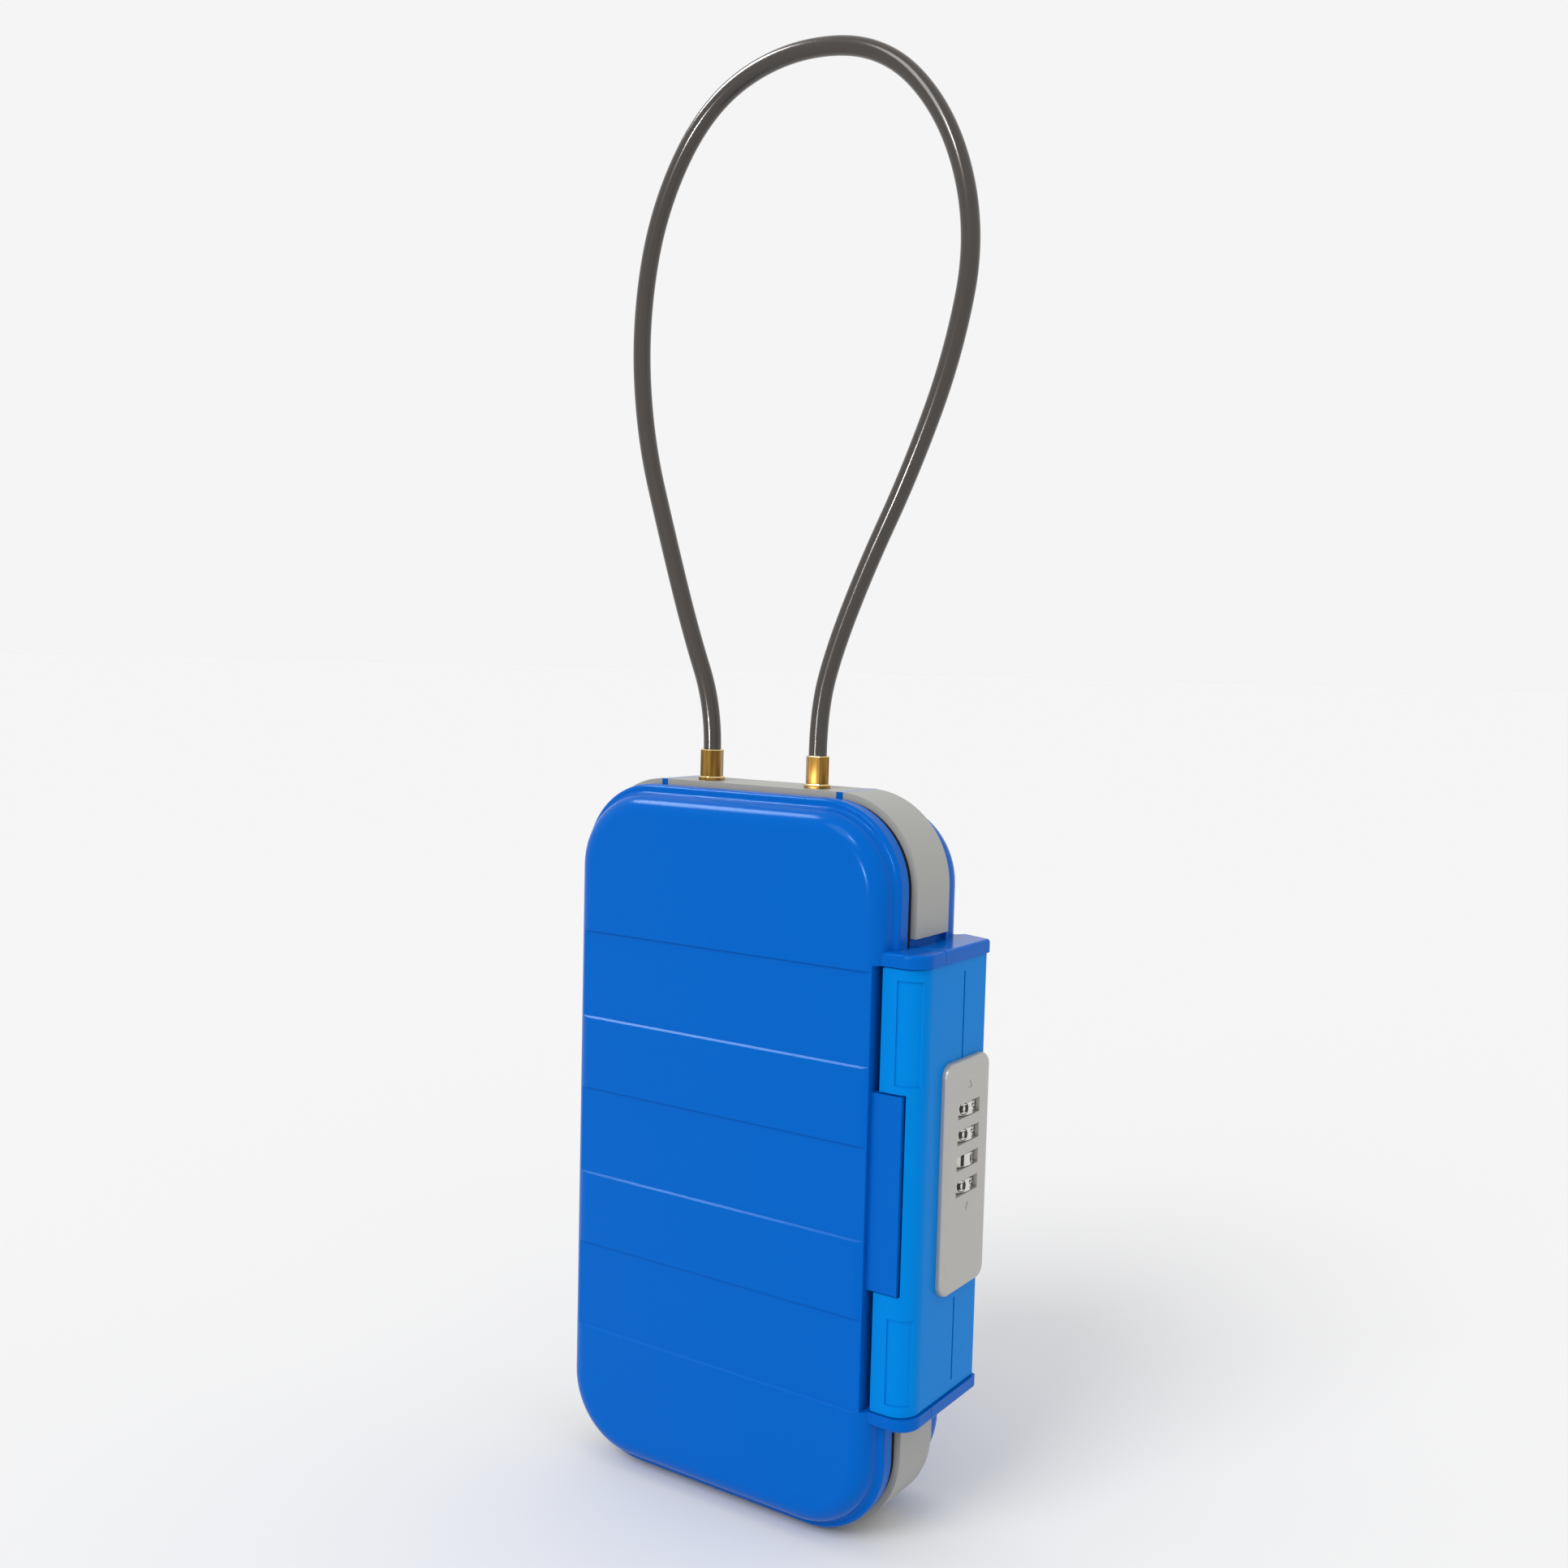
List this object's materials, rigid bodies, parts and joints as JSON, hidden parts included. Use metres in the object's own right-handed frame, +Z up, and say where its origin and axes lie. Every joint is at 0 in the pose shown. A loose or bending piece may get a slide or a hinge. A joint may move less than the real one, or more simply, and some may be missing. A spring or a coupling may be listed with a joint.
{
  "type": "cable lock box",
  "caption": "Portable lock box: two hinged shells with bumper strips, a side latch with a combination lock, and a steel cable loop held by brass ferrules.",
  "frame": {"origin": "on the bottom face of the case, at the middle of its width, in the plane where the lid and the rear shell part", "axes": "+X to the latch side, +Y to the back, away from the lid, +Z up towards the cable loop"},
  "size_m": [0.1237, 0.0431, 0.3993],
  "materials": {
    "shell_plastic": "gloss",
    "latch_plastic": "gloss",
    "bumper_plastic": "satin",
    "seal_rubber": "matte",
    "plate_metal": "satin",
    "dial_plastic": "satin",
    "brass": "polished",
    "cable_sheath": "gloss",
    "steel": "brushed",
    "inner_plastic": "matte"
  },
  "bodies": {
    "case": {"rear_shell": "shell_plastic", "bumper_top": "bumper_plastic", "bumper_bottom": "bumper_plastic", "bumper_top_right": "bumper_plastic", "bumper_bottom_right": "bumper_plastic", "bumper_top_left": "bumper_plastic", "bumper_bottom_left": "bumper_plastic", "seal_ring": "seal_rubber", "hinge_pin": "steel", "latch_pin": "steel", "ferrule_fixed": "brass", "ferrule_free": "brass", "ferrule_nut_fixed": "brass", "ferrule_nut_free": "brass", "terminal_fixed": "steel", "terminal_free": "steel", "cable_sheath": "cable_sheath", "retainer_bracket": "steel", "retainer_screws": "steel"},
    "lid": {"lid_shell": "shell_plastic"},
    "latch": {"latch_cover": "latch_plastic", "escutcheon": "plate_metal", "escutcheon_screws": "steel", "lock_frame": "steel", "detent_spring": "steel", "lock_back_plate": "steel", "back_plate_screws": "steel"},
    "bolt": {"lock_bolt": "steel", "bolt_spring": "steel"},
    "reset": {"reset_pin": "steel"},
    "retainer": {"cable_retainer": "inner_plastic"},
    "dial_body_1": {"dial_1": "dial_plastic", "clutch_1": "inner_plastic"},
    "dial_body_2": {"dial_2": "dial_plastic", "clutch_2": "inner_plastic"},
    "dial_body_3": {"dial_3": "dial_plastic", "clutch_3": "inner_plastic"},
    "dial_body_4": {"dial_4": "dial_plastic", "clutch_4": "inner_plastic"}
  },
  "joints": [
    {"name": "lid_hinge", "type": "hinge", "parent": "case", "child": "lid", "pos_m": [-0.0572, 0.003, 0.098], "axis": [0, 0, -1], "range_deg": [0, 150]},
    {"name": "latch_hinge", "type": "hinge", "parent": "case", "child": "latch", "pos_m": [0.0582, 0.0242, 0.0988], "axis": [0, 0, 1], "range_deg": [0, 100]},
    {"name": "dial_1_turn", "type": "hinge", "parent": "latch", "child": "dial_body_1", "pos_m": [0.0561, 0.0153, 0.11756], "axis": [0, 0, 1], "continuous": true},
    {"name": "dial_2_turn", "type": "hinge", "parent": "latch", "child": "dial_body_2", "pos_m": [0.0561, 0.0153, 0.1106], "axis": [0, 0, 1], "continuous": true},
    {"name": "dial_3_turn", "type": "hinge", "parent": "latch", "child": "dial_body_3", "pos_m": [0.0561, 0.0153, 0.10364], "axis": [0, 0, 1], "continuous": true},
    {"name": "dial_4_turn", "type": "hinge", "parent": "latch", "child": "dial_body_4", "pos_m": [0.0561, 0.0153, 0.09668], "axis": [0, 0, 1], "continuous": true},
    {"name": "bolt_slide", "type": "slide", "parent": "latch", "child": "bolt", "axis": [0, 0, 1], "range_m": [0, 0.004], "stiffness_N_per_m": 250, "deforming": ["bolt_spring"]},
    {"name": "reset_slide", "type": "slide", "parent": "latch", "child": "reset", "axis": [1, 0, 0], "range_m": [0, 0.0012], "stiffness_N_per_m": 300},
    {"name": "retainer_slide", "type": "slide", "parent": "case", "child": "retainer", "axis": [-1, 0, 0], "range_m": [0, 0.006]}
  ]
}
